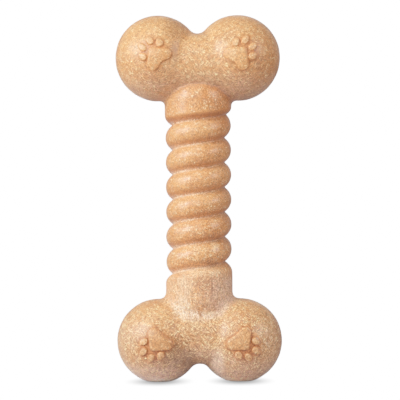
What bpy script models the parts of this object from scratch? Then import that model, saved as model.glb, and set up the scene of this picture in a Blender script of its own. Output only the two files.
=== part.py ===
"""A chew bone standing on end: a spiral-grooved shaft between two heads.

Each head is a saddle bar with a ball-shaped lobe glued to either side of it, and the
shaft is glued into both saddles. Every lobe carries a paw print, a pad and four toes
inlaid in shallow pockets, on its front and on its back.

Frame: metres, +Z up along the shaft, +X to the right of the front, front towards -Y.
The origin is on the standing surface, midway between the lower lobes.
"""

import math

import bmesh
import bpy
from mathutils import Vector

MM = 0.001

# Clearances, in millimetres as all lengths below
GLUE_GAP = 0.3
COPE_GAP = 0.4

# Each head: how far its lobes' centres are from the axis, their height and their radius,
# which way it lies from the shaft, and its saddle bar's section about the lobes' centres.
# The section reaches "notch" outward, is deepest "drop" towards the shaft and goes on for
# "inner" from there.
UPPER = {
    "x": 19.25,
    "z": 156.9,
    "r": 20.6,
    "up": 1.0,
    "notch": 11.75,
    "depth": 18.0,
    "drop": 2.0,
    "inner": 14.0,
}
LOWER = {
    "x": 19.65,
    "z": 19.95,
    "r": 20.25,
    "up": -1.0,
    "notch": 11.4,
    "depth": 17.3,
    "drop": 1.5,
    "inner": 13.5,
}
LOBE_SEGMENTS = 28
LOBE_RINGS = 11
LOBE_DROP = 1.02  # a lobe is this much longer below its centre than above

# Saddles: bars along X with a superellipse section, glued to the lobes at +-JOINT_X
JOINT_X = 9.3
SADDLE_POWER = 2.6
SADDLE_BLEND = 1.0
SADDLE_RINGS = 12
SPIGOT_R = 5.0
SPIGOT_LENGTH = 6.2
SPIGOT_SOCKET_DEPTH = 6.5

# Shaft
SHAFT_R = 15.85
NECK_R = 16.15
GROOVE_PITCH = 11.98
GROOVE_DEPTH = 3.25
RIB_ARC_R = 6.5
GROOVE_HEIGHT_AT_X = 118.12  # height of one turn of the groove on the +X side
GROOVE_LOW_END = (47.0, 52.0)  # the groove fades from nothing to full depth here
GROOVE_HIGH_END = (128.3, 134.5)  # and from full depth to nothing here
GROOVE_RUN_OUT = 0.8  # how far its upper end bends down
NECK_LOW_Z = 40.8  # the domed ends start here
NECK_HIGH_Z = 136.5
DOME_LOW = 16.0
DOME_HIGH = 13.5
SHAFT_SEGMENTS = 32
RINGS_PER_PITCH = 8
TENON_R = 5.2
TENON_SOCKET_R = 5.5
TENON_TIP = 3.1  # how far short of the lobes' centre height the tenon ends
TENON_END_GAP = 0.4

# Paw prints, laid out on a lobe about its front pole, along the print's own axis
PRINT_ANGLE = math.radians(50.0)  # the axis points outward, this far from level
PRINT_SHIFT = (0.23, 0.81)  # from the front pole, inward and towards the shaft
PAD_CORNERS = ((4.7, 0.0, 1.3), (-0.9, 4.1, 2.7), (-0.9, -4.1, 2.7))  # centre and radius
PAD_BASE_BOW = 1.1
PAD_ARC_STEPS = 5
TOE_LONG = 2.1
TOE_SHORT = 1.6
TOE_FAN = 0.35  # how much of its angle a toe is turned by
TOE_SIDES = 10
TOES = ((7.4, -45.0), (9.2, -15.0), (9.2, 15.0), (7.4, 45.0))  # distance, angle
RELIEF = 0.9
EDGE_RELIEF = 0.5
INLAY_DEPTH = 1.0

WOOD = (0.73, 0.41, 0.21, 1.0)
WOOD_DARK = (0.66, 0.36, 0.18, 1.0)
WOOD_PALE = (0.80, 0.49, 0.27, 1.0)


def clear_scene():
    for obj in list(bpy.data.objects):
        bpy.data.objects.remove(obj, do_unlink=True)


def wood_material(name, colour, roughness):
    material = bpy.data.materials.new(name)
    material.use_nodes = True
    shader = material.node_tree.nodes["Principled BSDF"]
    shader.inputs["Base Color"].default_value = colour
    shader.inputs["Roughness"].default_value = roughness
    shader.inputs["Metallic"].default_value = 0.0
    return material


def new_object(name, bm, location, parent, material=None):
    """Makes an object from a bmesh given in millimetres about its own origin."""
    bmesh.ops.recalc_face_normals(bm, faces=bm.faces[:])
    bmesh.ops.scale(bm, vec=Vector((MM, MM, MM)), verts=bm.verts[:])
    mesh = bpy.data.meshes.new(name)
    bm.to_mesh(mesh)
    bm.free()
    mesh.shade_smooth()
    mesh.set_sharp_from_angle(angle=math.radians(38.0))
    obj = bpy.data.objects.new(name, mesh)
    bpy.context.scene.collection.objects.link(obj)
    obj.location = Vector(location) * MM
    obj.parent = parent
    if material is not None:
        mesh.materials.append(material)
    return obj


def as_cutter(obj):
    obj.hide_render = True
    obj.display_type = "WIRE"
    return obj


def add_boolean(obj, other, operation):
    modifier = obj.modifiers.new(operation.lower() + "_" + other.name, "BOOLEAN")
    modifier.operation = operation
    modifier.solver = "EXACT"
    modifier.object = as_cutter(other)


def skin(bm, rings, start, end):
    """Closes a tube of rings with a point at either end."""
    loops = [[bm.verts.new(point) for point in ring] for ring in rings]
    for low, high in zip(loops, loops[1:]):
        count = len(low)
        for i in range(count):
            j = (i + 1) % count
            bm.faces.new((low[i], low[j], high[j], high[i]))
    for tip, loop in ((start, loops[0]), (end, loops[-1])):
        point = bm.verts.new(tip)
        for i in range(len(loop)):
            bm.faces.new((point, loop[i], loop[(i + 1) % len(loop)]))


def around_x(x, radius_at, segments):
    """A ring about the X axis; radius_at takes the angle from +Y towards +Z."""
    ring = []
    for i in range(segments):
        angle = 2.0 * math.pi * i / segments
        radius = radius_at(angle)
        ring.append(Vector((x, radius * math.cos(angle), radius * math.sin(angle))))
    return ring


def smooth_max(a, b, blend):
    return max(a, b) + max(blend - abs(a - b), 0.0) ** 2 / (4.0 * blend)


def smooth_step(low, high, value):
    t = min(max((value - low) / (high - low), 0.0), 1.0)
    return t * t * (3.0 - 2.0 * t)


def bar_radius(head, angle):
    """The saddle bar's section, as a radius about the X axis through the lobes' centres."""
    inside, outside = 0.0, 30.0
    for _ in range(30):
        radius = (inside + outside) / 2
        rise = head["up"] * radius * math.sin(angle) + head["drop"]
        tall = head["notch"] + head["drop"] if rise > 0.0 else head["inner"]
        across = abs(radius * math.cos(angle)) / head["depth"]
        if across**SADDLE_POWER + (abs(rise) / tall) ** SADDLE_POWER < 1.0:
            inside = radius
        else:
            outside = radius
    return inside


def lobe_stretch(angle):
    """How far a lobe reaches at an angle from +Y towards +Z, compared with a true ball."""
    tall = LOBE_DROP if math.sin(angle) < 0.0 else 1.0
    return 1.0 / math.hypot(math.cos(angle), math.sin(angle) / tall)


def ball_radius(head, x, angle):
    """The lobes' radius about the X axis at a distance x from the middle."""
    return lobe_stretch(angle) * math.sqrt(max(head["r"] ** 2 - (head["x"] - abs(x)) ** 2, 0.0))


def head_radius(head, x, angle):
    # the blend dies out at the glue joint, where the bar has sunk into the ball
    blend = SADDLE_BLEND * (1.0 - smooth_step(0.6 * JOINT_X, JOINT_X, abs(x))) + 0.01
    return smooth_max(bar_radius(head, angle), ball_radius(head, x, angle), blend)


# ---------------------------------------------------------------- lobes


def make_lobe(name, head, side, parent):
    """A ball cut flat at the glue joint, with a blind socket for the saddle's spigot."""
    flat = -(head["x"] - JOINT_X - GLUE_GAP / 2)
    bottom = flat + SPIGOT_SOCKET_DEPTH
    socket_r = SPIGOT_R + GLUE_GAP
    profile = [(bottom, socket_r), (flat, socket_r)]
    widest = math.acos(flat / head["r"])
    for i in range(LOBE_RINGS):
        angle = widest * (1.0 - i / LOBE_RINGS)
        profile.append((head["r"] * math.cos(angle), head["r"] * math.sin(angle)))
    bm = bmesh.new()
    rings = [
        around_x(side * along, lambda angle, r=radius: r * lobe_stretch(angle), LOBE_SEGMENTS)
        for along, radius in profile
    ]
    skin(bm, rings, Vector((side * bottom, 0, 0)), Vector((side * head["r"], 0, 0)))
    return new_object(
        name, bm, (side * head["x"], 0, head["z"]), parent, wood_material(name, WOOD, 0.5)
    )


def cut_standing_flat(lobe, head):
    """Takes the lowest part of a lower lobe off level with the standing surface."""
    bm = bmesh.new()
    bmesh.ops.create_cube(bm, size=1.0)
    bmesh.ops.scale(bm, vec=Vector((30.0, 30.0, 10.0)), verts=bm.verts[:])
    block = new_object(lobe.name + "_flat_cutter", bm, (0, 0, -head["z"] - 5.0), lobe)
    add_boolean(lobe, block, "DIFFERENCE")


# ---------------------------------------------------------------- saddles


def make_saddle(name, head, parent):
    """The bar between two lobes, with a spigot on each side and a socket for the shaft."""
    face = JOINT_X - GLUE_GAP / 2
    tip = face + SPIGOT_LENGTH
    rings = [
        around_x(-tip, lambda angle: SPIGOT_R, LOBE_SEGMENTS),
        around_x(-face, lambda angle: SPIGOT_R, LOBE_SEGMENTS),
    ]
    for i in range(SADDLE_RINGS + 1):
        x = face * (2.0 * i / SADDLE_RINGS - 1.0)
        rings.append(
            around_x(x, lambda angle, x=x: head_radius(head, x, angle), LOBE_SEGMENTS)
        )
    rings.append(around_x(face, lambda angle: SPIGOT_R, LOBE_SEGMENTS))
    rings.append(around_x(tip, lambda angle: SPIGOT_R, LOBE_SEGMENTS))
    bm = bmesh.new()
    skin(bm, rings, Vector((-tip, 0, 0)), Vector((tip, 0, 0)))
    saddle = new_object(
        name, bm, (0, 0, head["z"]), parent, wood_material(name, WOOD_DARK, 0.52)
    )
    near = TENON_TIP - TENON_END_GAP
    far = head["drop"] + head["inner"] + 10.0
    bm = bmesh.new()
    bmesh.ops.create_cone(
        bm,
        cap_ends=True,
        segments=20,
        radius1=TENON_SOCKET_R,
        radius2=TENON_SOCKET_R,
        depth=far - near,
    )
    drill = new_object(
        name + "_socket_cutter", bm, (0, 0, -head["up"] * (near + far) / 2), saddle
    )
    add_boolean(saddle, drill, "DIFFERENCE")
    return saddle


# ---------------------------------------------------------------- shaft


def groove_strength(turn_height):
    """How deep the groove is, from 0 to 1, where its middle is at this height."""
    return smooth_step(*GROOVE_LOW_END, turn_height) * (
        1.0 - smooth_step(*GROOVE_HIGH_END, turn_height)
    )


def shaft_radius(angle, z):
    """Ribs of circular section between the turns of one right-handed spiral groove."""
    if z > NECK_HIGH_Z:
        return NECK_R * math.sqrt(max(1.0 - ((z - NECK_HIGH_Z) / DOME_HIGH) ** 2, 0.0))
    if z < NECK_LOW_Z:
        return NECK_R * math.sqrt(max(1.0 - ((NECK_LOW_Z - z) / DOME_LOW) ** 2, 0.0))
    turn = GROOVE_HEIGHT_AT_X + GROOVE_PITCH * angle / (2.0 * math.pi)
    nearest = turn + GROOVE_PITCH * round((z - turn) / GROOVE_PITCH)
    above = z - nearest + GROOVE_RUN_OUT * smooth_step(125.5, 130.5, nearest)
    # the outer flanks of the first and last turns are steeper than those between ribs
    if above > 0.0:
        steep = 1.0 + 0.6 * smooth_step(121.0, 127.0, nearest)
    else:
        steep = 1.5 - 0.5 * smooth_step(55.0, 61.0, nearest)
    from_crest = max(GROOVE_PITCH / 2 - abs(above) * steep, 0.0)
    drop = RIB_ARC_R - math.sqrt(RIB_ARC_R**2 - from_crest**2)
    swell = 1.0 - smooth_step(50.0, 58.0, z) + smooth_step(122.0, 130.0, z)
    outside = SHAFT_R + (NECK_R - SHAFT_R) * swell
    return outside - min(drop, GROOVE_DEPTH) * groove_strength(nearest)


def make_shaft(name, parent):
    middle = (NECK_LOW_Z + NECK_HIGH_Z) / 2
    heights = []
    dome_steps = 6
    for i in range(1, dome_steps):
        heights.append(NECK_LOW_Z - DOME_LOW * math.cos(math.pi / 2 * i / dome_steps))
    count = math.ceil((NECK_HIGH_Z - NECK_LOW_Z) / GROOVE_PITCH * RINGS_PER_PITCH)
    for i in range(count + 1):
        heights.append(NECK_LOW_Z + (NECK_HIGH_Z - NECK_LOW_Z) * i / count)
    for i in range(1, dome_steps):
        heights.append(NECK_HIGH_Z + DOME_HIGH * math.sin(math.pi / 2 * i / dome_steps))
    rings = []
    for z in heights:
        ring = []
        for i in range(SHAFT_SEGMENTS):
            angle = 2.0 * math.pi * i / SHAFT_SEGMENTS
            radius = shaft_radius(angle, z)
            ring.append(
                Vector((radius * math.cos(angle), radius * math.sin(angle), z - middle))
            )
        rings.append(ring)
    bm = bmesh.new()
    skin(
        bm,
        rings,
        Vector((0, 0, NECK_LOW_Z - DOME_LOW - middle)),
        Vector((0, 0, NECK_HIGH_Z + DOME_HIGH - middle)),
    )
    shaft = new_object(
        name, bm, (0, 0, middle), parent, wood_material(name, WOOD, 0.46)
    )
    for end, head, neck in (("upper", UPPER, NECK_HIGH_Z), ("lower", LOWER, NECK_LOW_Z)):
        add_boolean(shaft, make_cope_cutter(end, head, middle, shaft), "DIFFERENCE")
        add_boolean(shaft, make_tenon(end, head, neck, middle, shaft), "UNION")
    return shaft


def make_cope_cutter(end, head, middle, parent):
    """A head's outline, a little larger, that the shaft's dome is shaped to sit against."""
    xs = []
    steps = 9
    for i in range(1, steps):
        angle = math.pi / 2 * i / steps
        xs.append(head["x"] + head["r"] * math.cos(angle))
    xs += [head["x"] - (head["x"] - JOINT_X) * i / 4 for i in range(5)]
    xs += [JOINT_X * (1.0 - i / 6) for i in range(1, 7)]
    xs = [-x for x in xs[:-1]] + xs[::-1]
    rings = []
    for x in xs:
        if abs(x) < JOINT_X:
            rings.append(
                around_x(
                    x,
                    lambda angle, x=x: head_radius(head, x, angle) + COPE_GAP,
                    LOBE_SEGMENTS,
                )
            )
        else:
            rings.append(
                around_x(
                    x,
                    lambda angle, x=x: ball_radius(head, x, angle) + COPE_GAP,
                    LOBE_SEGMENTS,
                )
            )
    reach = head["x"] + head["r"] + COPE_GAP
    bm = bmesh.new()
    skin(bm, rings, Vector((-reach, 0, 0)), Vector((reach, 0, 0)))
    return new_object(
        "shaft_" + end + "_cope_cutter", bm, (0, 0, head["z"] - middle), parent
    )


def make_tenon(end, head, neck, middle, parent):
    tip = head["z"] - head["up"] * TENON_TIP
    root = neck - head["up"] * 4.0
    bm = bmesh.new()
    bmesh.ops.create_cone(
        bm,
        cap_ends=True,
        segments=20,
        radius1=TENON_R,
        radius2=TENON_R,
        depth=abs(tip - root),
    )
    return new_object(
        "shaft_" + end + "_tenon", bm, (0, 0, (tip + root) / 2 - middle), parent
    )


# ---------------------------------------------------------------- paw prints


def pad_outline():
    """Three rounded corners, one towards the toes, and a base bowed in between the others."""
    facing = []
    for i, (x, y, radius) in enumerate(PAD_CORNERS):
        next_x, next_y, next_radius = PAD_CORNERS[(i + 1) % 3]
        way = Vector((next_x - x, next_y - y))
        lean = (radius - next_radius) / way.length
        way.normalize()
        side = Vector((way.y, -way.x))
        normal = way * lean + side * math.sqrt(1.0 - lean**2)
        facing.append(math.atan2(normal.y, normal.x))
    points = []
    for i, (x, y, radius) in enumerate(PAD_CORNERS):
        sweep = (facing[i] - facing[i - 1]) % (2.0 * math.pi)
        for step in range(PAD_ARC_STEPS):
            angle = facing[i - 1] + sweep * step / (PAD_ARC_STEPS - 1)
            points.append(
                Vector((x + radius * math.cos(angle), y + radius * math.sin(angle)))
            )
        if i == 1:
            points.append(Vector((x - radius + PAD_BASE_BOW, 0.0)))
    return points


def toe_outline(distance, degrees):
    """An oval set out at an angle and turned by part of it."""
    angle = math.radians(degrees)
    lean = TOE_FAN * angle
    centre = Vector((math.cos(angle), math.sin(angle))) * distance
    along = Vector((math.cos(lean), math.sin(lean)))
    across = Vector((-along.y, along.x))
    points = []
    for i in range(TOE_SIDES):
        turn = 2.0 * math.pi * i / TOE_SIDES
        points.append(
            centre
            + along * (TOE_LONG * math.cos(turn))
            + across * (TOE_SHORT * math.sin(turn))
        )
    return points


def grown(outline, amount):
    """The outline moved outward all round by the amount."""
    count = len(outline)
    result = []
    for i in range(count):
        edge = (outline[(i + 1) % count] - outline[i - 1]).normalized()
        result.append(outline[i] + amount * Vector((edge.y, -edge.x)))
    return result


def middle_of(outline):
    return sum(outline, Vector((0.0, 0.0))) / len(outline)


def on_lobe(point, head, left_right, face, radius):
    """Takes a point of the print's layout to the lobe, at a radius from its centre."""
    axis = Vector((left_right * math.cos(PRINT_ANGLE), head["up"] * math.sin(PRINT_ANGLE)))
    across = Vector((-axis.y, axis.x))
    shift = Vector((left_right * PRINT_SHIFT[0], head["up"] * PRINT_SHIFT[1]))
    flat = axis * point.x + across * point.y - shift
    rise = flat.y / LOBE_DROP if flat.y < 0.0 else flat.y
    depth = math.sqrt(head["r"] ** 2 - flat.x**2 - rise**2)
    return Vector((flat.x, face * depth, flat.y)) * (radius / head["r"])


def add_inlay(bm, outline, place, origin, levels):
    """Skins rings of one outline; levels gives each ring's scale and radius."""
    centre = middle_of(outline)
    rings = []
    for scale, radius in levels:
        rings.append(
            [place(centre + (p - centre) * scale, radius) - origin for p in outline]
        )
    skin(
        bm,
        rings,
        place(centre, levels[0][1]) - origin,
        place(centre, levels[-1][1] + 0.02) - origin,
    )


def make_print(lobe, head, label, left_right, face):
    """One pad and four toes, and the shapes of the pockets that hold them."""

    def place(point, radius):
        return on_lobe(point, head, left_right, face, radius)

    pieces = [("pad", pad_outline())]
    for number, (distance, degrees) in enumerate(TOES, 1):
        pieces.append(("toe_" + str(number), toe_outline(distance, degrees)))
    pockets = []
    for piece, outline in pieces:
        name = label + "_" + piece
        origin = place(middle_of(outline), head["r"])
        bm = bmesh.new()
        add_inlay(
            bm,
            outline,
            place,
            origin,
            (
                (1.0, head["r"] - INLAY_DEPTH),
                (1.0, head["r"] + EDGE_RELIEF),
                (0.78, head["r"] + RELIEF),
            ),
        )
        new_object(name, bm, origin, lobe, wood_material(name, WOOD_PALE, 0.45))
        pockets.append((grown(outline, GLUE_GAP), place))
    return pockets


def cut_pockets(lobe, head, pockets):
    bm = bmesh.new()
    for outline, place in pockets:
        add_inlay(
            bm,
            outline,
            place,
            Vector((0, 0, 0)),
            ((1.0, head["r"] - INLAY_DEPTH - GLUE_GAP), (1.0, head["r"] + 1.5)),
        )
    cutter = new_object(lobe.name + "_pocket_cutter", bm, (0, 0, 0), lobe)
    add_boolean(lobe, cutter, "DIFFERENCE")


# ---------------------------------------------------------------- assembly


def main():
    clear_scene()
    bone = bpy.data.objects.new("chew_bone", None)
    bpy.context.scene.collection.objects.link(bone)
    make_shaft("spiral_shaft", bone)
    make_saddle("upper_saddle", UPPER, bone)
    make_saddle("lower_saddle", LOWER, bone)
    for end, head in (("upper", UPPER), ("lower", LOWER)):
        for hand, left_right in (("left", -1.0), ("right", 1.0)):
            label = end + "_" + hand
            lobe = make_lobe(label + "_lobe", head, left_right, bone)
            pockets = []
            for facing, face in (("front", -1.0), ("back", 1.0)):
                pockets += make_print(lobe, head, label + "_" + facing, left_right, face)
            cut_pockets(lobe, head, pockets)
            if head is LOWER:
                cut_standing_flat(lobe, head)
    bpy.context.view_layer.update()


main()
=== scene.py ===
"""Looks of a chew bone moulded from wood fibre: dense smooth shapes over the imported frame,
a procedural fibre material, a white floor, soft light and a camera at the front."""

import math

import bmesh
import bpy
import numpy as np
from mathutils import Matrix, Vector


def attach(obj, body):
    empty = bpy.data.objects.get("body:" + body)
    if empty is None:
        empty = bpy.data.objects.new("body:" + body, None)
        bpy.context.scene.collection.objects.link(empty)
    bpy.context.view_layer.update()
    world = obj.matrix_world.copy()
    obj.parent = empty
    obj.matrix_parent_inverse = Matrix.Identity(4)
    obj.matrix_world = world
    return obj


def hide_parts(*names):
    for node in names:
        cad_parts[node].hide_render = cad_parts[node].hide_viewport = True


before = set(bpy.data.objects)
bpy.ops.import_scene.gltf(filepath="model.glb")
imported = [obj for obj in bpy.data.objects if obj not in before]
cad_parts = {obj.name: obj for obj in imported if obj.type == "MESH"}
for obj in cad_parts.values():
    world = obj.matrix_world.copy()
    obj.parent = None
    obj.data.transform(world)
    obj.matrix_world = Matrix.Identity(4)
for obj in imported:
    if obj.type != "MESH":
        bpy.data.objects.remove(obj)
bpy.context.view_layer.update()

# ------------------------------------------------------------------ sizes, in millimetres

# each head: how far its lobes' centres lie from the axis, their height and their radius; then its
# saddle's section, which reaches up to "notch" over the lobes' centres on the outside, is deepest
# "drop" nearer the shaft than they are, and goes on for "inner" from there
LOWER = {"x": 19.65, "z": 19.95, "r": 20.25, "notch": 11.4, "depth": 17.3, "drop": 1.5, "inner": 13.5}
UPPER = {"x": 19.25, "z": 156.9, "r": 20.6, "notch": 11.75, "depth": 18.0, "drop": 2.0, "inner": 14.0}
LOBE_DROP = 1.02  # the lobes are this much longer below their centres than above
JOINT_X = 9.3
MIDDLE_Z = (LOWER["z"] + UPPER["z"]) / 2

SADDLE_POWER = 2.6
SADDLE_END = 14.0
SADDLE_FILLET = (2.2, 0.9)  # in the notch, and on the front and back

SHAFT_R = 15.85
NECK_SWELL = 0.3
GROOVE_PITCH = 11.98
RIB_ARC_R = 6.5
GROOVE_HEIGHT_AT_X = 118.12
GROOVE_LOW_END = (47.0, 52.0)
GROOVE_HIGH_END = (128.3, 134.5)
RUN_OUT = 0.8  # how far the groove's upper end bends down
NECK_LOW_Z = 40.8
NECK_HIGH_Z = 136.5
DOME_HIGH = 13.5
DOME_LOW = 16.0
NECK_FILLET_HIGH = (3.0, 1.5)  # at the sides, and on the front and back
NECK_FILLET_LOW = (4.0, 4.2)

PRINT_ANGLE = math.radians(50.0)
PRINT_SHIFT = (0.23, 0.81)  # from the lobe's front pole, inward and towards the bone's middle
PAD_APEX = (4.7, 1.3)  # where the pad's corners are centred, and their radii
PAD_BASE = (-0.9, 2.7)
PAD_BASE_HALF = 4.1
PAD_BASE_BOW = {"upper": 1.1, "lower": 0.35}
TOE_LONG = 2.15
TOE_SHORT = 1.65
TOE_FAN = 0.35
TOES = ((7.4, -45.0), (9.2, -15.0), (9.2, 15.0), (7.4, 45.0))
PAD_RELIEF = {"upper": 0.65, "lower": 1.0}
TOE_RELIEF = {"upper": 0.85, "lower": 1.05}

VOXEL = 0.5
MM = 0.001

# ------------------------------------------------------------------ the bone as a field


def smooth_min(a, b, k):
    h = np.maximum(k - np.abs(a - b), 0.0) / k
    return np.minimum(a, b) - h * h * k * 0.25


def smooth_step(low, high, value):
    t = np.clip((value - low) / (high - low), 0.0, 1.0)
    return t * t * (3.0 - 2.0 * t)


def between(pair, t):
    return pair[0] + (pair[1] - pair[0]) * t


def wobble(p):
    """The slight unevenness of a moulded surface, from a few crossed waves."""
    x, y, z = p[:, 0], p[:, 1], p[:, 2]
    return 0.035 * (
        np.sin(0.41 * x + 0.23 * z + 0.7) * np.sin(0.37 * y - 0.19 * z + 1.9)
        + 0.7 * np.sin(0.83 * x - 0.55 * y + 0.31 * z) * np.sin(0.61 * z + 0.47 * y)
    )


def of_head(z, key):
    return np.where(z > MIDDLE_Z, UPPER[key], LOWER[key])


def head_field(p):
    """Lobes and saddle of the nearer end."""
    x = np.abs(p[:, 0])
    y = p[:, 1]
    high = p[:, 2]
    z = np.where(high > MIDDLE_Z, high - UPPER["z"], LOWER["z"] - high)
    tall = z / np.where(high < of_head(high, "z"), LOBE_DROP, 1.0)
    lobe = np.sqrt((x - of_head(high, "x")) ** 2 + y**2 + tall**2) - of_head(high, "r")
    z = z + of_head(high, "drop")
    half_height = np.where(
        z > 0.0, of_head(high, "notch") + of_head(high, "drop"), of_head(high, "inner")
    )
    section = (
        (np.abs(y) / of_head(high, "depth")) ** SADDLE_POWER
        + (np.abs(z) / half_height) ** SADDLE_POWER
        + 1e-9
    ) ** (1.0 / SADDLE_POWER)
    radius = np.sqrt(y**2 + z**2)
    bar = np.maximum(radius - radius / section, x - SADDLE_END)
    return smooth_min(lobe, bar, between(SADDLE_FILLET, smooth_step(3.0, 10.0, np.abs(y))))


def groove(angle, z):
    """The nearest turn of the groove: its height, how far above it a point is and how deep it is, 0 to 1."""
    turn = GROOVE_HEIGHT_AT_X + GROOVE_PITCH * angle / (2.0 * np.pi)
    nearest = turn + GROOVE_PITCH * np.round((z - turn) / GROOVE_PITCH)
    strength = smooth_step(*GROOVE_LOW_END, nearest) * (
        1.0 - smooth_step(*GROOVE_HIGH_END, nearest)
    )
    middle = nearest - RUN_OUT * smooth_step(125.5, 130.5, nearest)
    return nearest, z - middle, strength


def rib_radius(angle, z):
    nearest, above, strength = groove(angle, z)
    # the outer flanks of the first and last turns are steeper than those between ribs
    steep = 1.0 + np.where(
        above > 0.0,
        0.6 * smooth_step(121.0, 127.0, nearest),
        0.3 * (1.0 - smooth_step(55.0, 61.0, nearest)),
    )
    away = np.sqrt((above * steep) ** 2 + 0.35**2)  # rounds the valley
    from_crest = np.maximum(GROOVE_PITCH / 2 - away, 0.0)
    drop = RIB_ARC_R - np.sqrt(RIB_ARC_R**2 - from_crest**2)
    swell = 1.0 - smooth_step(50.0, 58.0, z) + smooth_step(122.0, 130.0, z)
    return SHAFT_R + NECK_SWELL * swell - drop * strength


def shaft_field(p):
    across = np.sqrt(p[:, 0] ** 2 + p[:, 1] ** 2)
    angle = np.arctan2(p[:, 1], p[:, 0])
    z = p[:, 2]
    body = across - rib_radius(angle, z)
    past = np.where(z > MIDDLE_Z, z - NECK_HIGH_Z, NECK_LOW_Z - z)
    past = np.maximum(past, 0.0)
    dome_height = np.where(z > MIDDLE_Z, DOME_HIGH, DOME_LOW)
    neck = SHAFT_R + NECK_SWELL
    q = np.sqrt((across / neck) ** 2 + (past / dome_height) ** 2)
    slope = np.sqrt((across / neck**2) ** 2 + (past / dome_height**2) ** 2) + 1e-9
    dome = (q - 1.0) * q / slope
    return np.where(past > 0.0, dome, body)


def bone_field(p):
    front = smooth_step(5.0, 11.0, np.abs(p[:, 1]))
    fillet = np.where(
        p[:, 2] > MIDDLE_Z, between(NECK_FILLET_HIGH, front), between(NECK_FILLET_LOW, front)
    )
    whole = smooth_min(head_field(p), shaft_field(p), fillet)
    return -smooth_min(-(whole + wobble(p)), p[:, 2], 0.6)  # cut by the floor, with a rounded edge


def gradient(field, p, eps=0.02):
    g = np.empty_like(p)
    for k in range(3):
        step = np.zeros(3)
        step[k] = eps
        g[:, k] = (field(p + step) - field(p - step)) / (2.0 * eps)
    return g


def onto_surface(p, rounds):
    for _ in range(rounds):
        g = gradient(bone_field, p)
        size = np.maximum((g**2).sum(1), 0.05)
        move = -bone_field(p)[:, None] * g / size[:, None]
        length = np.linalg.norm(move, axis=1, keepdims=True)
        p = p + move * np.minimum(1.0, 0.8 / np.maximum(length, 1e-9))
    return p


# ------------------------------------------------------------------ meshes


def numbers(collection, name, width, kind):
    out = np.empty(len(collection) * width, kind)
    collection.foreach_get(name, out)
    return out.reshape(-1, width) if width > 1 else out


def rough_bone():
    """Overlapping simple shapes of the bone, joined by a voxel remesh."""
    bm = bmesh.new()
    for head in (LOWER, UPPER):
        for side in (-1, 1):
            made = bmesh.ops.create_icosphere(bm, subdivisions=5, radius=head["r"])
            bmesh.ops.translate(
                bm, verts=made["verts"], vec=Vector((side * head["x"], 0, head["z"]))
            )
        made = bmesh.ops.create_icosphere(bm, subdivisions=5, radius=1.0)
        for v in made["verts"]:
            n = v.co.normalized()
            up = 1.0 if head is UPPER else -1.0
            tall = head["notch"] + head["drop"] if n.z * up > 0.0 else head["inner"]
            section = (
                (abs(n.y) / head["depth"]) ** SADDLE_POWER
                + (abs(n.z) / tall) ** SADDLE_POWER
                + (abs(n.x) / 13.0) ** 6.0
            ) ** (-1.0 / SADDLE_POWER)
            v.co = n * min(section, 18.0) + Vector((0, 0, head["z"] - up * head["drop"]))
    rings, around = 330, 160
    low, high = NECK_LOW_Z - DOME_LOW, NECK_HIGH_Z + DOME_HIGH
    angle = np.linspace(0, 2 * np.pi, around, endpoint=False)
    loops = []
    for z in np.linspace(low + 0.4, high - 0.4, rings):
        past = max(z - NECK_HIGH_Z, NECK_LOW_Z - z, 0.0)
        if past > 0.0:
            part = past / (DOME_HIGH if z > MIDDLE_Z else DOME_LOW)
            r = np.full(around, (SHAFT_R + NECK_SWELL) * math.sqrt(1.0 - part**2))
        else:
            r = rib_radius(angle, np.full(around, z))
        loops.append(
            [
                bm.verts.new((r[i] * math.cos(a), r[i] * math.sin(a), z))
                for i, a in enumerate(angle)
            ]
        )
    for a, b in zip(loops, loops[1:]):
        for i in range(around):
            j = (i + 1) % around
            bm.faces.new((a[i], a[j], b[j], b[i]))
    bm.faces.new(loops[0][::-1])
    bm.faces.new(loops[-1])
    mesh = bpy.data.meshes.new("rough")
    bm.to_mesh(mesh)
    bm.free()
    obj = bpy.data.objects.new("rough", mesh)
    bpy.context.scene.collection.objects.link(obj)
    remesh = obj.modifiers.new("voxels", "REMESH")
    remesh.mode = "VOXEL"
    remesh.voxel_size = VOXEL
    remesh.adaptivity = 0.0
    graph = bpy.context.evaluated_depsgraph_get()
    done = obj.evaluated_get(graph).to_mesh()
    points = numbers(done.vertices, "co", 3, np.float32).astype(float)
    corners = numbers(done.loops, "vertex_index", 1, np.int32)
    totals = numbers(done.polygons, "loop_total", 1, np.int32)
    obj.evaluated_get(graph).to_mesh_clear()
    bpy.data.objects.remove(obj, do_unlink=True)
    bpy.data.meshes.remove(mesh)
    return points, corners, totals


def relaxed(points, edges, rounds):
    count = np.bincount(edges.ravel(), minlength=len(points))[:, None]
    for _ in range(rounds):
        total = np.zeros_like(points)
        for k in range(3):
            total[:, k] = np.bincount(
                edges[:, 0], points[edges[:, 1], k], len(points)
            ) + np.bincount(edges[:, 1], points[edges[:, 0], k], len(points))
        points = points + 0.5 * (total / np.maximum(count, 1) - points)
    return points


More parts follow.
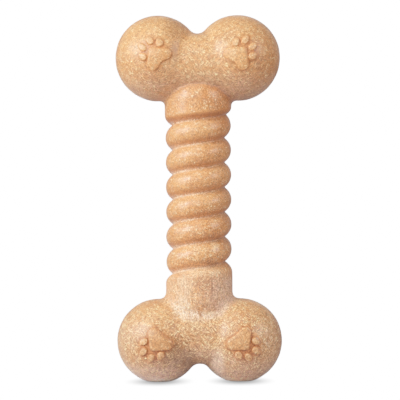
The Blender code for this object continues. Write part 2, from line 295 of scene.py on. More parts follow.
def cut_along(bm, value, keep=0.12):
    """Cuts the mesh where value, one number per vertex, is zero. A vertex near it moves nowhere but counts as on it."""
    bm.verts.index_update()
    crossing = []
    for e in bm.edges:
        a, b = e.verts
        va, vb = value[a.index], value[b.index]
        if (va < 0.0) != (vb < 0.0):
            crossing.append((e, va / (va - vb)))
    faces = set()
    marks = set()
    for e, t in crossing:
        a, b = e.verts
        if t < keep:
            marks.add(a)
        elif t > 1.0 - keep:
            marks.add(b)
    for e, t in crossing:
        a, b = e.verts
        faces.update(e.link_faces)
        if a in marks or b in marks:
            continue
        _, v = bmesh.utils.edge_split(e, a, t)
        marks.add(v)
    for f in list(faces):
        on = [v for v in f.verts if v in marks]
        if len(on) < 2:
            continue
        best = None
        count = len(f.verts)
        order = {v: i for i, v in enumerate(f.verts)}
        for i in range(len(on)):
            for j in range(i + 1, len(on)):
                gap = abs(order[on[i]] - order[on[j]])
                if gap in (1, count - 1):
                    continue
                best = (on[i], on[j])
        if best:
            bmesh.utils.face_split(f, best[0], best[1])


def bone_pieces():
    """{node: (points, faces, normals)}: the bone's surface shared out between its pieces, each closed."""
    points, corners, totals = rough_bone()
    mesh = bpy.data.meshes.new("whole")
    starts = np.concatenate([[0], np.cumsum(totals)[:-1]]).astype(np.int32)
    mesh.vertices.add(len(points))
    mesh.vertices.foreach_set("co", points.astype(np.float32).ravel())
    mesh.loops.add(len(corners))
    mesh.loops.foreach_set("vertex_index", corners)
    mesh.polygons.add(len(totals))
    mesh.polygons.foreach_set("loop_start", starts)
    mesh.update(calc_edges=True)
    edges = numbers(mesh.edges, "vertices", 2, np.int32)
    points = onto_surface(points, 4)
    points = onto_surface(relaxed(points, edges, 2), 2)
    points = onto_surface(relaxed(points, edges, 1), 3)
    mesh.vertices.foreach_set("co", points.astype(np.float32).ravel())
    bm = bmesh.new()
    bm.from_mesh(mesh)
    bpy.data.meshes.remove(mesh)

    def places():
        return np.array([v.co[:] for v in bm.verts], float)

    now = places()
    cut_along(bm, shaft_field(now) - head_field(now))
    for side in (-1.0, 1.0):
        now = places()
        owner = head_field(now) - shaft_field(now)
        value = side * now[:, 0] - JOINT_X
        value = np.where(owner > 0.4, -1.0, value)
        cut_along(bm, value)
    bm.verts.index_update()
    points = places()
    faces = [[v.index for v in f.verts] for f in bm.faces]
    bm.free()
    middles = np.array([points[f].mean(0) for f in faces])
    on_shaft = shaft_field(middles) < head_field(middles)
    upper = middles[:, 2] > MIDDLE_Z
    normals = gradient(bone_field, points)
    normals /= np.maximum(np.linalg.norm(normals, axis=1, keepdims=True), 1e-9)
    found = {}
    for i, f in enumerate(faces):
        if on_shaft[i]:
            name = "spiral_shaft"
        else:
            end = "upper_" if upper[i] else "lower_"
            if abs(middles[i, 0]) < JOINT_X:
                name = end + "saddle"
            else:
                name = end + ("right_lobe" if middles[i, 0] > 0 else "left_lobe")
        found.setdefault(name, []).append(f)
    return {name: closed_piece(name, points, normals, fs) for name, fs in found.items()}


def closed_piece(name, points, normals, faces):
    """One piece's faces with its open edges closed inside the bone."""
    used = sorted({v for f in faces for v in f})
    number = {v: i for i, v in enumerate(used)}
    faces = [[number[v] for v in f] for f in faces]
    mine = points[used]
    sharp = normals[used]
    follows = {}
    edges = {(f[i - 1], f[i]) for f in faces for i in range(len(f))}
    for a, b in edges:
        if (b, a) not in edges:
            follows[b] = a
    tips, caps = [], []
    left = set(follows)
    while left:
        first = min(left)
        loop = [first]
        left.discard(first)
        at = follows[first]
        while at != first and at in left:
            loop.append(at)
            left.discard(at)
            at = follows[at]
        tip = len(mine) + len(tips)
        centre = mine[loop].mean(0)
        if name.endswith("lobe"):
            side = 1.0 if "right" in name else -1.0
            head = UPPER if "upper" in name else LOWER
            centre = np.array([side * (JOINT_X + 0.3), 0.0, head["z"]])
        elif name.endswith("saddle"):
            centre = np.array([0.0, 0.0, (UPPER if "upper" in name else LOWER)["z"]])
        else:
            centre = np.array([0.0, 0.0, centre[2]])
        tips.append(centre)
        for i in range(len(loop)):
            caps.append([loop[i - 1], loop[i], tip])
    up = np.zeros((len(tips), 3))
    up[:, 2] = 1.0
    return np.vstack([mine] + [np.array(tips)]), faces + caps, np.vstack([sharp, up])


# marks, most of them on the lower neck: middle across and up, half width and half height, and how strong
PALE_MARKS = (
    (-7.0, 45.5, 4.2, 6.5, 0.55),
    (-8.0, 36.5, 4.0, 4.5, 0.7),
    (1.5, 54.0, 10.0, 3.0, 0.6),
    (4.2, 33.5, 3.0, 1.6, 0.7),
    (7.6, 65.8, 2.0, 1.8, 0.55),
    (-13.0, 154.0, 3.5, 6.0, 0.3),
    (34.0, 20.0, 3.0, 8.0, 0.12),
    (11.5, 44.0, 4.0, 8.0, 0.22),
    (7.4, 57.6, 3.2, 1.8, 0.4),
)
BROWN_MARKS = (
    (1.8, 47.8, 4.0, 4.4, 0.85),
    (7.8, 46.0, 0.6, 6.0, 0.45),
    (10.6, 46.5, 0.5, 5.0, 0.35),
    (12.4, 65.5, 0.8, 3.0, 0.7),
)
# painted shade on the lower parts of the upper lobes, under the prints
UNDERSIDE_SHADE_MARKS = ((-16.0, 147.5, 7.5, 6.0, 0.14), (23.0, 148.0, 9.0, 7.0, 0.16))
SCUFF_MARKS = (
    (33.0, 21.0, 4.5, 9.0, 0.3),
    (-8.8, 36.0, 4.2, 5.5, 0.9),
    (-3.5, 32.5, 5.0, 2.8, 0.8),
    (4.0, 32.0, 3.6, 1.8, 0.8),
)
CRACK_MARKS = (
    (6.1, 45.5, 0.5, 6.5, 1.0),
    (8.8, 42.5, 0.4, 4.5, 0.6),
    (-6.2, 46.5, 0.4, 5.5, 0.55),
    (0.6, 32.5, 0.45, 2.6, 0.6),
    (-4.6, 31.5, 0.45, 2.2, 0.6),
)
NICK_MARKS = ((6.2, 57.6, 3.2, 2.0, 0.85), (7.5, 69.2, 4.2, 1.7, 0.7))
# painted bounce light from the floor on the inner flank of the lower right lobe
BOUNCE_LIGHT_MARKS = ((8.4, 9.0, 3.4, 7.5, 0.42),)
SHADE_MARKS = (
    (-9.5, 12.5, 8.5, 7.5, 0.34),
    (0.0, 24.0, 9.0, 7.0, 0.08),
    (-10.5, 171.0, 6.0, 7.0, 0.18),
    (-10.2, 160.5, 3.8, 6.5, 0.15),
    (12.8, 144.5, 4.0, 3.0, 0.15),
    (14.5, 165.5, 5.0, 4.0, 0.12),
    (-18.0, 151.5, 3.0, 4.5, 0.1),
)


def spots(points, marks):
    """Soft ovals on the front, 0 to 1."""
    x, y, z = points.T
    total = np.zeros(len(points))
    for across, up, half_width, half_height, amount in marks:
        away = ((x - across) / half_width) ** 2 + ((z - up) / half_height) ** 2
        total = np.maximum(total, amount * np.exp(-(away**2)))
    return total * smooth_step(2.0, -6.0, y)


def surface_marks(points):
    """{name: 0 to 1 at each point}: painted shade under the ribs, in the upper crease and at the foot of the prints,
    the pale line in the grooves, dust with painted bounce light, and the marks of the lower neck.
    """
    x, y, z = points.T
    shaft, head = shaft_field(points), head_field(points)
    nearest, above, strength = groove(np.arctan2(y, x), z)
    strength = strength * (shaft < head)
    line = np.exp(-(((above - 0.2) / 0.85) ** 2)) * strength
    # painted shadow just below each groove, towards the right, part of the shade mark
    lip = np.exp(-(((above + 0.6) / 0.7) ** 2)) * strength * smooth_step(-9.0, 6.0, x)
    # painted shade on the underside of the rib above each groove
    shade_under_rib = np.exp(-(((above - 1.6) / 1.2) ** 2)) * strength
    shade_under_rib = shade_under_rib * (0.45 + 0.4 * smooth_step(121.0, 127.0, nearest))
    crease = np.exp(-(((shaft - head) / np.where(z < MIDDLE_Z, 2.4, 1.6)) ** 2))
    low = z < MIDDLE_Z
    scuff = np.maximum(
        line * np.clip(0.62 - 0.035 * x, 0.15, 0.9),
        crease * np.where(low, 0.6 * np.exp(-((x / 9.0) ** 2)), 0.15),
    )
    scuff = np.maximum(scuff, spots(points, SCUFF_MARKS))
    # painted shade in the crease of the upper neck, stronger on the right, joined by the painted shade marks and the
    # painted shade at the foot of the prints
    painted_hollow_shade = np.maximum(shade_under_rib, crease * np.where(low, 0.0, 0.25 + 0.35 * smooth_step(4.0, 12.0, x)))
    painted_hollow_shade = np.maximum(np.maximum(painted_hollow_shade, spots(points, UNDERSIDE_SHADE_MARKS)), print_foot_shade(points))
    bloom = smooth_step(24.0, 32.0, z) * (1.0 - smooth_step(47.0, 55.0, z))
    bloom = bloom * smooth_step(4.5, 0.0, shaft)
    inner = np.exp(-((x / 11.0) ** 2))
    # dust towards the bottom, most in the middle, which also paints light bounced up from the floor; stronger at the
    # very bottom, most on the left, as painted bounce light
    dust_and_bounce = 1.0 - smooth_step(2.0, 17.0 + 9.0 * inner, z)
    dust_and_bounce = dust_and_bounce * (np.where(x < 0.0, 1.0, 0.8) + np.where(x < 0.0, 0.6, 0.1) * (1.0 - smooth_step(1.0, 8.0, z)))
    # painted bounce light: the bottom of the lower lobes lighter, through negative shade
    bottom_bounce_light = (1.0 - smooth_step(0.0, 3.5, z)) * smooth_step(-29.0, -18.0, x) * np.where(x < 0.0, 1.0, 0.75)
    grey = 0.95 * bloom * smooth_step(0.0, 12.0, x) * smooth_step(2.0, -6.0, y)
    # painted bounce light: the undersides of the upper lobes greyer and lighter
    below = 0.5 * (1.0 - smooth_step(140.0, 153.0, z)) * (z > MIDDLE_Z) * (head < shaft)
    left = 0.3 * (1.0 - smooth_step(-37.0, -27.0, x)) * (1.0 - smooth_step(24.0, 36.0, z))
    return {
        "scuff": scuff,
        "painted_hollow_shade": painted_hollow_shade,
        "bloom": bloom,
        "dust_and_bounce": np.maximum(np.maximum(dust_and_bounce, grey), np.maximum(below, left)),
        "fade": inner * (head < shaft) * smooth_step(17.0, 30.0, z)
        * (np.where(low, 0.5, 0.25) + 1.5 * np.exp(-(((z - 146.0) / 5.0) ** 2))),
        "pale": spots(points, PALE_MARKS),
        "brown": spots(points, BROWN_MARKS),
        "painted_bounce_mark": spots(points, BOUNCE_LIGHT_MARKS),
        "crack": spots(points, CRACK_MARKS),
        "nick": spots(points, NICK_MARKS),
        "matt": smooth_step(24.0, 32.0, z) * (1.0 - smooth_step(55.0, 60.0, z)) * smooth_step(4.5, 0.0, shaft),
        # painted shade from the shade marks and just below the grooves; negative at the bottom of the lower lobes,
        # where it paints bounce light
        "shade": np.maximum(spots(points, SHADE_MARKS), 0.16 * lip) - 1.1 * bottom_bounce_light,
    }


def print_axes(left_right, up_down):
    """The middle, the axis towards the toes and the way across, in X and Z, of a lobe's print."""
    axis = np.array((left_right * math.cos(PRINT_ANGLE), up_down * math.sin(PRINT_ANGLE)))
    across = np.array((-axis[1], axis[0]))
    shift = -np.array((left_right * PRINT_SHIFT[0], up_down * PRINT_SHIFT[1]))
    return shift, axis, across


def print_foot_shade(points):
    """Painted shade at the foot of each pad and toe: how close a point of a lobe is to it, counted once for each."""
    total = np.zeros(len(points))
    for left_right in (-1.0, 1.0):
        for up_down in (-1.0, 1.0):
            shift, axis, across = print_axes(left_right, up_down)
            head = UPPER if up_down > 0 else LOWER
            bow = PAD_BASE_BOW["upper" if up_down > 0 else "lower"]
            flats = [pad_outline(bow)] + [toe_outline(*t) for t in TOES]
            centre = np.array((left_right * head["x"], head["z"]))
            xz = points[:, [0, 2]] - centre - shift
            # on the upper lobes the painted shade is shifted right, to the side away from the light
            xz[:, 0] -= 0.45 if up_down > 0 else 0.0
            near = np.flatnonzero((np.abs(points[:, 1]) > 10.0) & ((xz**2).sum(1) < 14.0**2))
            flat = np.stack([xz[near] @ axis, xz[near] @ across], 1)
            for outline in flats:
                gap = np.full(len(near), 9.0)
                for point in outline:
                    gap = np.minimum(gap, np.hypot(*(flat - point).T))
                total[near] += np.exp(-((gap / 1.0) ** 2))
    line = np.where(points[:, 2] > MIDDLE_Z, 0.42, 0.75)
    return np.clip(line * total + 0.6 * np.maximum(total - 0.7, 0.0), 0.0, 0.95)


def add_piece(name, node, points, faces, material, normals=None, marks=None):
    mesh = bpy.data.meshes.new(name)
    mesh.from_pydata((np.asarray(points) * MM).tolist(), [], faces)
    for mark, values in (marks or {}).items():
        mesh.attributes.new(mark, "FLOAT", "POINT").data.foreach_set(
            "value", np.asarray(values, np.float32)
        )
    mesh.validate(verbose=False)
    mesh.shade_smooth()
    if normals is not None and len(mesh.vertices) == len(normals):
        mesh.normals_split_custom_set_from_vertices(np.asarray(normals).tolist())
    mesh.materials.append(material)
    obj = bpy.data.objects.new(name, mesh)
    bpy.context.scene.collection.objects.link(obj)
    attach(obj, "root")
    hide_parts(node)
    return obj


# ------------------------------------------------------------------ paw prints


def pad_outline(bow, steps=14, along=9):
    """Three rounded corners, one towards the toes, and a base bowed in between the other two."""
    rounds = (
        (np.array((PAD_APEX[0], 0.0)), PAD_APEX[1]),
        (np.array((PAD_BASE[0], PAD_BASE_HALF)), PAD_BASE[1]),
        (np.array((PAD_BASE[0], -PAD_BASE_HALF)), PAD_BASE[1]),
    )
    facing = []
    for i, (centre, radius) in enumerate(rounds):
        other, other_radius = rounds[(i + 1) % 3]
        way = other - centre
        length = np.linalg.norm(way)
        lean = (radius - other_radius) / length
        way /= length
        side = np.array((way[1], -way[0]))
        normal = way * lean + side * math.sqrt(1.0 - lean**2)
        facing.append(math.atan2(normal[1], normal[0]))
    arcs = []
    for i, (centre, radius) in enumerate(rounds):
        start = facing[i - 1]
        sweep = (facing[i] - start) % (2.0 * math.pi)
        turn = start + sweep * np.linspace(0.0, 1.0, steps)
        arcs.append(centre + radius * np.stack([np.cos(turn), np.sin(turn)], 1))
    points = []
    for i, arc in enumerate(arcs):
        points += list(arc)
        start, end = arc[-1], arcs[(i + 1) % 3][0]
        for step in range(1, along):
            t = step / along
            point = start + (end - start) * t
            if i == 1:
                point = point + np.array((bow * math.sin(math.pi * t) ** 2, 0.0))
            points.append(point)
    return np.array(points)


def toe_outline(distance, degrees, sides=44):
    """An oval set out at an angle and turned by part of it."""
    angle = math.radians(degrees)
    lean = TOE_FAN * angle
    along = np.array((math.cos(lean), math.sin(lean)))
    across = np.array((-along[1], along[0]))
    turn = np.linspace(0, 2 * np.pi, sides, endpoint=False)
    wide = TOE_SHORT * (1.0 - 0.10 * np.cos(turn))
    return (
        np.array((math.cos(angle), math.sin(angle))) * distance
        + np.cos(turn)[:, None] * TOE_LONG * along
        + (np.sin(turn) * wide)[:, None] * across
    )


def outward(outline):
    edge = np.roll(outline, -1, 0) - np.roll(outline, 1, 0)
    edge /= np.linalg.norm(edge, axis=1, keepdims=True)
    return np.stack([edge[:, 1], -edge[:, 0]], 1)


# how far inside the outline each ring lies, and its height over the lobe
PAD_EDGE = (
    (-0.40, -0.90),
    (-0.40, -0.10),
    (-0.28, 0.03),
    (-0.16, 0.14),
    (-0.06, 0.30),
    (0.03, 0.50),
    (0.12, 0.68),
    (0.25, 0.82),
    (0.42, 0.92),
    (0.64, 0.98),
)
TOE_EDGE = (
    (-0.30, -0.90),
    (-0.30, -0.08),
    (-0.20, 0.03),
    (-0.10, 0.14),
    (-0.02, 0.30),
    (0.06, 0.48),
    (0.16, 0.66),
    (0.30, 0.80),
    (0.50, 0.91),
    (0.78, 0.98),
)


def print_piece(outline, edge, left_right, up_down, face, height, whiteness):
    """A raised island on a lobe, its foot flared into the lobe's surface."""
    normal = outward(outline)
    centre = outline.mean(0)
    rings = []
    crisp = 1.0 if up_down > 0 else 0.7
    for inside, level in edge:
        rings.append((outline - normal * inside * crisp, level))
    last = rings[-1][0]
    for t, level in ((0.75, 1.01), (0.5, 1.04), (0.25, 1.05)):
        rings.append((centre + (last - centre) * t, level))
    shift, axis, across = print_axes(left_right, up_down)
    head = UPPER if up_down > 0 else LOWER
    ball = head["r"]
    middle = np.array((left_right * head["x"], 0.0, head["z"]))

    def place(flat, level):
        flat = np.atleast_2d(flat)
        xz = flat[:, :1] * axis + flat[:, 1:] * across + shift
        depth = np.sqrt(ball**2 - (xz**2).sum(1))
        unit = np.stack([xz[:, 0], face * depth, xz[:, 1]], 1) / ball
        lift = level * height if level > 0 else level
        return middle + unit * (ball + lift)

    count = len(outline)
    points = [place(centre, edge[0][1])]
    levels = [edge[0][1]]
    for ring, level in rings:
        points.append(place(ring, level))
        levels += [level] * count
    points.append(place(centre, 1.05))
    levels.append(1.0)
    points = np.vstack(points)
    levels = np.array(levels)
    # painted shade at the foot of each raised piece
    painted_hollow_shade = (0.3 if up_down > 0 else 0.8) * (1.0 - smooth_step(0.10, 0.70, levels))
    pale = whiteness * smooth_step(0.70, 0.98, levels)
    faces = []
    for i in range(count):
        j = (i + 1) % count
        faces.append([0, 1 + j, 1 + i])
        for k in range(len(rings) - 1):
            a, b = 1 + k * count, 1 + (k + 1) * count
            faces.append([a + i, a + j, b + j, b + i])
        top = 1 + (len(rings) - 1) * count
        faces.append([top + i, top + j, len(points) - 1])
    volume = 0.0
    for f in faces:
        for k in range(1, len(f) - 1):
            volume += np.dot(
                points[f[0]] - middle,
                np.cross(points[f[k]] - middle, points[f[k + 1]] - middle),
            )
    if volume < 0:
        faces = [f[::-1] for f in faces]
    smooth = np.full(len(points), 0.0 if up_down > 0 else 0.7)
    return points, faces, {"painted_hollow_shade": painted_hollow_shade, "pale": pale, "smooth": smooth}


# ------------------------------------------------------------------ material


class Nodes:
    """A short way to write a node tree."""

    def __init__(self, tree):
        self.tree = tree

    def add(self, kind, links=None, **settings):
        node = self.tree.nodes.new(kind)
        for name, value in settings.items():
            setattr(node, name, value)
        for key, value in (links or {}).items():
            socket = node.inputs[key]
            if isinstance(value, bpy.types.NodeSocket):
                self.tree.links.new(value, socket)
            else:
                socket.default_value = value
        return node

    def math(self, operation, a, b=0.0, clamp=False):
        return self.add(
            "ShaderNodeMath", {0: a, 1: b}, operation=operation, use_clamp=clamp
        ).outputs[0]

    def noise(self, vector, scale, detail=2.0, rough=0.5, warp=0.0):
        return self.add(
            "ShaderNodeTexNoise",
            {
                "Vector": vector,
                "Scale": scale,
                "Detail": detail,
                "Roughness": rough,
                "Distortion": warp,
            },
        ).outputs["Fac"]

    def ramp(self, value, low, high, a=0.0, b=1.0):
        return self.add(
            "ShaderNodeMapRange",
            {"Value": value, "From Min": low, "From Max": high, "To Min": a, "To Max": b},
            interpolation_type="SMOOTHSTEP",
        ).outputs[0]

    def mix(self, factor, a, b, blend="MIX"):
        node = self.tree.nodes.new("ShaderNodeMix")
        node.data_type = "RGBA"
        node.blend_type = blend
        for socket, value in zip(
            (node.inputs[0], node.inputs[6], node.inputs[7]), (factor, a, b)
        ):
            if isinstance(value, bpy.types.NodeSocket):
                self.tree.links.new(value, socket)
            else:
                socket.default_value = value
        return node.outputs[2]

    def turned(self, vector, rotation, scale, shift=(0.0, 0.0, 0.0)):
        """The vector turned, then divided by a size along each of the new axes."""
        return self.add(
            "ShaderNodeMapping",
            {"Vector": vector, "Location": shift, "Rotation": rotation, "Scale": scale},
            vector_type="TEXTURE",
        ).outputs[0]


def fleck_layer(n, vector, turn, size, shift, share, spread, bias=0.0):
    """Grains drawn out along one direction: how much of one lies here, 0 to 1."""
    long, wide = size
    v = n.turned(vector, turn, (long, wide, wide), shift)
    cells = n.add("ShaderNodeTexVoronoi", {"Vector": v, "Scale": 1.0, "Randomness": 1.0})
    chance = n.add("ShaderNodeSeparateColor", {0: cells.outputs["Color"]}).outputs[0]
    shape = n.ramp(cells.outputs["Distance"], spread, spread * 0.5)
    chosen = n.ramp(n.math("ADD", chance, bias), 1.0 - share, 1.0 - share * 0.4)
    return n.math("MULTIPLY", shape, chosen)


# most grains lie along the front and the back
TURNS = (
    (0.2, 0.25, 0.15),
    (1.1, 0.95, -0.20),
    (-0.7, -0.55, 0.20),
    (2.0, -1.15, -0.15),
    (0.4, 0.60, 1.50),
    (-1.4, 0.55, -0.30),
)


def fibre_material(name, look):
    """Wood fibre in a binder: tan matrix, darker patches, pale drawn-out grains and a few dark ones."""
    material = bpy.data.materials.new(name)
    material.use_nodes = True
    tree = material.node_tree
    n = Nodes(tree)
    shader = tree.nodes["Principled BSDF"]
    place = n.add("ShaderNodeTexCoord").outputs["Object"]
    mm = n.add("ShaderNodeVectorMath", {0: place, 3: 1000.0}, operation="SCALE").outputs[0]
    height = n.add("ShaderNodeSeparateXYZ", {0: mm}).outputs[2]

    def mark(name):
        return n.add("ShaderNodeAttribute", attribute_name=name).outputs["Fac"]

    broad = n.noise(mm, 0.055, 2.0, 0.5)
    blotch = n.noise(mm, 0.21, 3.0, 0.6, 0.6)
    cloud = n.noise(mm, 0.42, 2.0, 0.6, 0.3)
    sway = n.add("ShaderNodeTexNoise", {"Vector": mm, "Scale": 0.35, "Detail": 1.0}).outputs["Color"]
    bent = n.add(
        "ShaderNodeVectorMath", {0: sway, 1: (1.8, 1.8, 1.8), 2: mm}, operation="MULTIPLY_ADD"
    ).outputs[0]
    # fine fibres lie one way in some places and another way in others
    fine = look["grain"]
    one_way = n.noise(n.turned(bent, (0.15, 0.8, 0.1), fine), 1.0, 2.0, 0.6)
    other_way = n.noise(n.turned(bent, (-0.2, -0.7, 0.1), fine), 1.0, 2.0, 0.6)
    lean = n.ramp(n.noise(mm, 0.13, 1.0), 0.42, 0.60)
    grain = n.math("SUBTRACT", other_way, one_way)
    grain = n.math("ADD", one_way, n.math("MULTIPLY", lean, grain))
    colour = n.mix(n.ramp(broad, 0.35, 0.65), look["base"], look["base_light"])
    colour = n.mix(
        n.math("MULTIPLY", n.ramp(blotch, 0.50, 0.72), look["blotch"]), colour, look["dark_base"]
    )

    pink = n.math("MULTIPLY", n.ramp(cloud, 0.46, 0.66), look["pink"])
    colour = n.mix(pink, colour, (0.64, 0.335, 0.20, 1))

    colour = n.mix(n.math("MULTIPLY", mark("fade"), 0.24), colour, (0.78, 0.45, 0.25, 1))
    # painted top light: the top of the upper head lighter and yellower
    painted_top_light = n.ramp(height, 150.0, 172.0, 0.0, 0.4)
    colour = n.mix(painted_top_light, colour, (0.70, 0.345, 0.140, 1))
    # darker towards the bottom of the bone
    deep = n.ramp(height, 10.0, 50.0, 0.80, 1.0)
    colour = n.mix(1.0, colour, deep, "MULTIPLY")
    # painted shade: darker orange-brown under the ribs, in the upper crease, on the upper lobes' lower parts and at the
    # foot of the prints
    painted_hollow_shade = mark("painted_hollow_shade")
    colour = n.mix(n.math("MULTIPLY", painted_hollow_shade, 0.9), colour, (0.48, 0.175, 0.065, 1))
    drawn = n.noise(n.turned(mm, (0.0, -0.10, 0.0), (1.0, 1.0, 5.0)), 1.0, 3.0, 0.65, 0.8)
    streak = n.math("MULTIPLY", n.ramp(drawn, 0.38, 0.66), mark("bloom"))
    colour = n.mix(n.math("MULTIPLY", streak, 0.60), colour, (0.78, 0.53, 0.37, 1))
    patchy = n.ramp(blotch, 0.30, 0.62, 0.35, 0.75)
    # dust, and painted bounce light, greyer and lighter towards the bottom and on the undersides
    colour = n.mix(n.math("MULTIPLY", mark("dust_and_bounce"), patchy), colour, (0.66, 0.46, 0.38, 1))
    brown = n.math("MULTIPLY", mark("brown"), n.ramp(drawn, 0.30, 0.52))
    colour = n.mix(brown, colour, (0.50, 0.235, 0.125, 1))

    scuff = mark("scuff")
    crowd = n.math("ADD", n.ramp(cloud, 0.25, 0.75, -0.06, 0.06), n.ramp(height, 30.0, 120.0, 0.05, -0.015))
    crowd = n.math("ADD", crowd, n.math("MULTIPLY", scuff, 0.12))
    crowd = n.math("SUBTRACT", crowd, n.math("MULTIPLY", painted_hollow_shade, 0.35))
    crowd = n.math("SUBTRACT", crowd, n.math("MULTIPLY", mark("smooth"), 0.2))
    pale = None
    for k in range(look["layers"]):
        one = fleck_layer(
            n, bent, TURNS[k], look["fleck"], (3.1 * k, 5.7 * k, 1.3 * k), look["share"], 0.44, crowd
        )
        pale = one if pale is None else n.math("MAXIMUM", pale, one)
    dark = n.math(
        "MAXIMUM",
        fleck_layer(n, bent, TURNS[5], look["fleck"], (9.0, 2.0, 4.0), look["dark"], 0.42),
        fleck_layer(n, bent, TURNS[1], look["fleck"], (1.0, 8.0, 6.0), look["dark"], 0.42),
    )
    colour = n.mix(n.math("MULTIPLY", dark, 0.8), colour, (0.40, 0.155, 0.06, 1))
    straw = n.mix(n.math("MULTIPLY", scuff, 0.5), look["straw"], (0.94, 0.76, 0.60, 1))
    colour = n.mix(n.math("MULTIPLY", pale, look["strength"]), colour, straw)

    thread = n.noise(n.turned(mm, (0.0, 0.04, 0.0), (0.46, 0.46, 3.4)), 1.0, 2.0, 0.6)
    light_mark = n.math("MULTIPLY", mark("pale"), n.ramp(thread, 0.40, 0.56, 0.05, 1.0))
    colour = n.mix(light_mark, colour, (0.88, 0.60, 0.36, 1))
    upright = n.noise(n.turned(mm, (0.0, -0.38, 0.0), (0.46, 0.46, 3.2)), 1.0, 2.0, 0.6)
    level = n.noise(n.turned(mm, (0.0, -0.12, 0.0), (0.7, 0.5, 0.42)), 1.0, 2.0, 0.6)
    low = n.ramp(height, 44.0, 50.0)
    worn = n.mix(low, n.ramp(upright, 0.50, 0.57), n.ramp(level, 0.42, 0.56))
    worn = n.math("MULTIPLY", n.math("MULTIPLY", worn, scuff), 0.85)
    colour = n.mix(worn, colour, (0.92, 0.72, 0.56, 1))
    # painted bounce light, lighter and greyer
    painted_bounce_mark = n.math("MULTIPLY", mark("painted_bounce_mark"), n.ramp(upright, 0.40, 0.60, 0.5, 1.0))
    colour = n.mix(painted_bounce_mark, colour, (0.90, 0.74, 0.64, 1))
    hair = n.noise(n.turned(mm, (0.0, 0.07, 0.0), (0.40, 0.40, 5.0)), 1.0, 2.0, 0.55)
    hair = n.math("MULTIPLY", n.ramp(hair, 0.55, 0.64, 0.0, 0.62), mark("bloom"))
    crack = n.math("MULTIPLY", mark("crack"), n.ramp(thread, 0.62, 0.46, 0.1, 1.0))
    nick = n.noise(n.turned(mm, (0.0, 0.8, 0.0), (0.42, 0.42, 3.0)), 1.0, 2.0, 0.6)
    nick = n.math("MULTIPLY", mark("nick"), n.ramp(nick, 0.49, 0.57, 0.0, 0.9))
    colour = n.mix(n.math("MAXIMUM", hair, crack), colour, (0.42, 0.20, 0.115, 1))
    colour = n.mix(nick, colour, (0.27, 0.12, 0.07, 1))
    grit = look["grit"]
    tone = n.mix(
        n.ramp(grain, 0.32, 0.68),
        (1.0 - 0.85 * grit, 1.0 - grit, 1.0 - 1.05 * grit, 1),
        (1.0 + grit, 1.0 + grit, 1.0 + grit, 1),
    )
    tone = n.mix(n.ramp(height, 40.0, 130.0, 0.0, 0.2), tone, (1.0, 0.9, 0.8, 1))
    # painted shade where the shade mark is positive, painted bounce light where it is negative
    tone = n.mix(1.0, tone, n.math("SUBTRACT", 1.0, mark("shade")), "MULTIPLY")
    colour = n.mix(1.0, colour, tone, "MULTIPLY")
    colour.node.clamp_result = True
    tree.links.new(colour, shader.inputs["Base Color"])

    rough = n.ramp(grain, 0.34, 0.66, look["rough"] - 0.07, look["rough"] + 0.07)
    rough = n.math("ADD", rough, n.math("MULTIPLY", mark("matt"), 0.25))
    tree.links.new(n.math("SUBTRACT", rough, n.math("MULTIPLY", pale, 0.06)), shader.inputs["Roughness"])
    shader.inputs["Specular IOR Level"].default_value = 0.55
    shader.inputs["Sheen Weight"].default_value = 1.0
    shader.inputs["Sheen Roughness"].default_value = 0.25
    shader.inputs["Sheen Tint"].default_value = (0.42, 0.46, 0.52, 1)

    relief = n.math("ADD", n.math("MULTIPLY", pale, 0.6), n.math("MULTIPLY", grain, 0.8))
    bump = n.add(
        "ShaderNodeBump", {"Height": relief, "Strength": look["bump"], "Distance": 0.00012}
    )
    tree.links.new(bump.outputs[0], shader.inputs["Normal"])
    return material


# ------------------------------------------------------------------ build

HEAD = {
    "base": (0.60, 0.262, 0.103, 1),
    "base_light": (0.68, 0.330, 0.140, 1),
    "dark_base": (0.52, 0.208, 0.088, 1),
    "blotch": 0.5,
    "grain": (2.6, 0.42, 0.42),
    "grit": 0.47,
    "pink": 0.45,
    "layers": 5,
    "fleck": (3.0, 0.42),
    "share": 0.25,
    "strength": 1.0,
    "straw": (1.0, 0.72, 0.40, 1),
    "dark": 0.45,
    "rough": 0.40,
    "bump": 0.28,
}
LOOKS = {
    "lobe_fibre": HEAD,
    "saddle_fibre": dict(HEAD, share=0.30),
    "shaft_fibre": dict(
        HEAD,
        base=(0.62, 0.253, 0.094, 1),
        base_light=(0.70, 0.322, 0.130, 1),
        dark_base=(0.54, 0.205, 0.085, 1),
        grain=(1.0, 0.40, 0.40),
        grit=0.46,
        pink=0.32,
        fleck=(1.9, 0.40),
        share=0.18,
        straw=(0.96, 0.69, 0.42, 1),
        blotch=0.4,
        rough=0.36,
        bump=0.2,
    ),
    "print_fibre": dict(
        HEAD,
        base=(0.66, 0.280, 0.104, 1),
        base_light=(0.72, 0.330, 0.132, 1),
        blotch=0.25,
        grain=(1.3, 0.42, 0.42),
        grit=0.40,
        pink=0.2,
        share=0.24,
        strength=0.9,
        dark=0.3,
        bump=0.2,
    ),
}
FIBRE = {slot: fibre_material(slot, look) for slot, look in LOOKS.items()}

for node, (points, faces, normals) in bone_pieces().items():
    kind = node.split("_")[-1] + "_fibre"
    add_piece(
        node + "_skin", node, points, faces, FIBRE[kind], normals, surface_marks(points)
    )

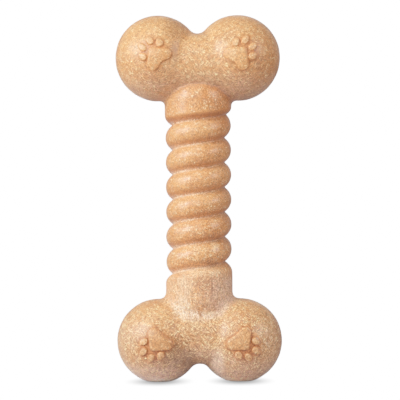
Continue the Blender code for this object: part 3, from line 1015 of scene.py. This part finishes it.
for end, up_down in (("upper", 1.0), ("lower", -1.0)):
    for hand, left_right in (("left", -1.0), ("right", 1.0)):
        for facing, face in (("front", -1.0), ("back", 1.0)):
            label = end + "_" + hand + "_" + facing + "_"
            outlines = [("pad", pad_outline(PAD_BASE_BOW[end]), PAD_EDGE, PAD_RELIEF[end], 0.08)]
            for number, toe in enumerate(TOES, 1):
                outlines.append(
                    ("toe_" + str(number), toe_outline(*toe), TOE_EDGE, TOE_RELIEF[end], 0.28)
                )
            for part, outline, edge, height, whiteness in outlines:
                points, faces, marks = print_piece(
                    outline, edge, left_right, up_down, face, height, whiteness
                )
                add_piece(
                    label + part + "_skin",
                    label + part,
                    points,
                    faces,
                    FIBRE["print_fibre"],
                    marks=marks,
                )

# ------------------------------------------------------------------ floor, light and camera

scene = bpy.context.scene
view = scene.view_settings
view.view_transform = "Standard"
view.look = "None"
view.exposure = 0.0
view.use_curve_mapping = True
response = view.curve_mapping
FULL = 1.6  # the light that comes out white
BEND = 0.9  # how strongly bright light is held back
response.white_level = (FULL, FULL, FULL)
response.extend = "HORIZONTAL"
for light in (0.08, 0.16, 0.28, 0.42, 0.58, 0.76, 0.96, 1.18, 1.40):
    shown = (1.0 - math.exp(-BEND * light)) / (1.0 - math.exp(-BEND * FULL))
    response.curves[3].points.new(light / FULL, shown)
response.update()

bpy.ops.mesh.primitive_plane_add(size=12.0, location=(0, 0, 0))
floor = bpy.context.object
floor.name = "floor"
pale = bpy.data.materials.new("floor")
pale.use_nodes = True
f = Nodes(pale.node_tree)
for old in list(pale.node_tree.nodes):
    pale.node_tree.nodes.remove(old)
reach = f.add(
    "ShaderNodeVectorMath", {0: f.add("ShaderNodeTexCoord").outputs["Object"]}, operation="LENGTH"
).outputs["Value"]
paper = f.mix(f.ramp(reach, 0.04, 0.16), (0.60, 0.56, 0.58, 1), (0.42, 0.39, 0.39, 1))
matt = f.add("ShaderNodeBsdfDiffuse", {"Color": paper})
# a soft shadow spreads from where each lower lobe touches the floor
spot = f.add("ShaderNodeSeparateXYZ", {0: f.add("ShaderNodeTexCoord").outputs["Object"]})
beside = f.math("SUBTRACT", f.math("ABSOLUTE", spot.outputs[0]), LOWER["x"] * MM)
beside = f.math("POWER", f.math("ABSOLUTE", f.math("DIVIDE", beside, 0.0125)), 2.0)
before = f.math("SUBTRACT", spot.outputs[1], 0.001)
before = f.math("POWER", f.math("ABSOLUTE", f.math("DIVIDE", before, 0.034)), 2.0)
away = f.math("SQRT", f.math("ADD", beside, before))
lit = f.ramp(away, 0.22, 1.52, 0.45, 1.63)
bright = f.add("ShaderNodeEmission", {"Color": (1, 1, 1, 1), "Strength": lit})
direct = f.add("ShaderNodeLightPath").outputs["Is Camera Ray"]
sheet = f.add("ShaderNodeMixShader", {0: direct, 1: matt.outputs[0], 2: bright.outputs[0]})
f.add("ShaderNodeOutputMaterial", {"Surface": sheet.outputs[0]})
floor.data.materials.append(pale)

world = bpy.data.worlds.new("studio")
scene.world = world
world.use_nodes = True
w = Nodes(world.node_tree)
for old in list(world.node_tree.nodes):
    world.node_tree.nodes.remove(old)
seen = w.add("ShaderNodeLightPath").outputs["Is Camera Ray"]
way = w.add("ShaderNodeSeparateXYZ", {0: w.add("ShaderNodeTexCoord").outputs["Generated"]}).outputs[1]
room = w.mix(w.ramp(way, -0.1, 0.9), (0.22, 0.205, 0.21, 1), (0.34, 0.34, 0.35, 1))
shade = w.mix(seen, room, (1.65, 1.65, 1.65, 1))
sky = w.add("ShaderNodeBackground", {"Color": shade, "Strength": 1.0})
w.add("ShaderNodeOutputWorld", {"Surface": sky.outputs[0]})


def lamp(name, place, target, size, power, colour=(1, 1, 1)):
    data = bpy.data.lights.new(name, "AREA")
    data.shape = "RECTANGLE"
    data.size, data.size_y = size
    data.energy = power
    data.color = colour
    obj = bpy.data.objects.new(name, data)
    scene.collection.objects.link(obj)
    obj.location = place
    obj.rotation_euler = (Vector(target) - Vector(place)).to_track_quat("-Z", "Y").to_euler()
    return obj


def around(azimuth, elevation, distance=1.3):
    """A place seen from the bone's middle: azimuth to the right of the camera, elevation over the floor."""
    a, e = math.radians(azimuth), math.radians(elevation)
    return (
        distance * math.sin(a) * math.cos(e),
        -distance * math.cos(a) * math.cos(e),
        0.09 + distance * math.sin(e),
    )


MIDDLE = (0, 0, 0.09)
WARM = (1.0, 0.965, 0.87)
COOL = (0.945, 1.0, 0.99)
lamp("key", around(-51, 26), MIDDLE, (0.30, 0.60), 12.5, COOL)
lamp("side", around(-80, 22), MIDDLE, (0.3, 0.5), 5.0)
lamp("low", around(-56, 4), MIDDLE, (0.3, 0.2), 2.4)
lamp("front", around(-15, 20), MIDDLE, (0.7, 0.5), 5.6, WARM)
lamp("fill", around(58, 24), MIDDLE, (0.45, 0.55), 5.9)
lamp("top", around(-25, 64), MIDDLE, (0.5, 0.5), 3.1, WARM)

camera = bpy.data.cameras.new("camera")
camera.lens = 36.0 * 1600.0 / 194.0
camera.sensor_width = 36.0
camera.clip_start = 0.05
camera.clip_end = 50.0
eye = bpy.data.objects.new("camera", camera)
scene.collection.objects.link(eye)
eye.location = (0.00063, -1.6, 0.08794)
eye.rotation_euler = (math.radians(90.0), math.radians(0.4), 0.0)
scene.camera = eye

bpy.context.view_layer.update()
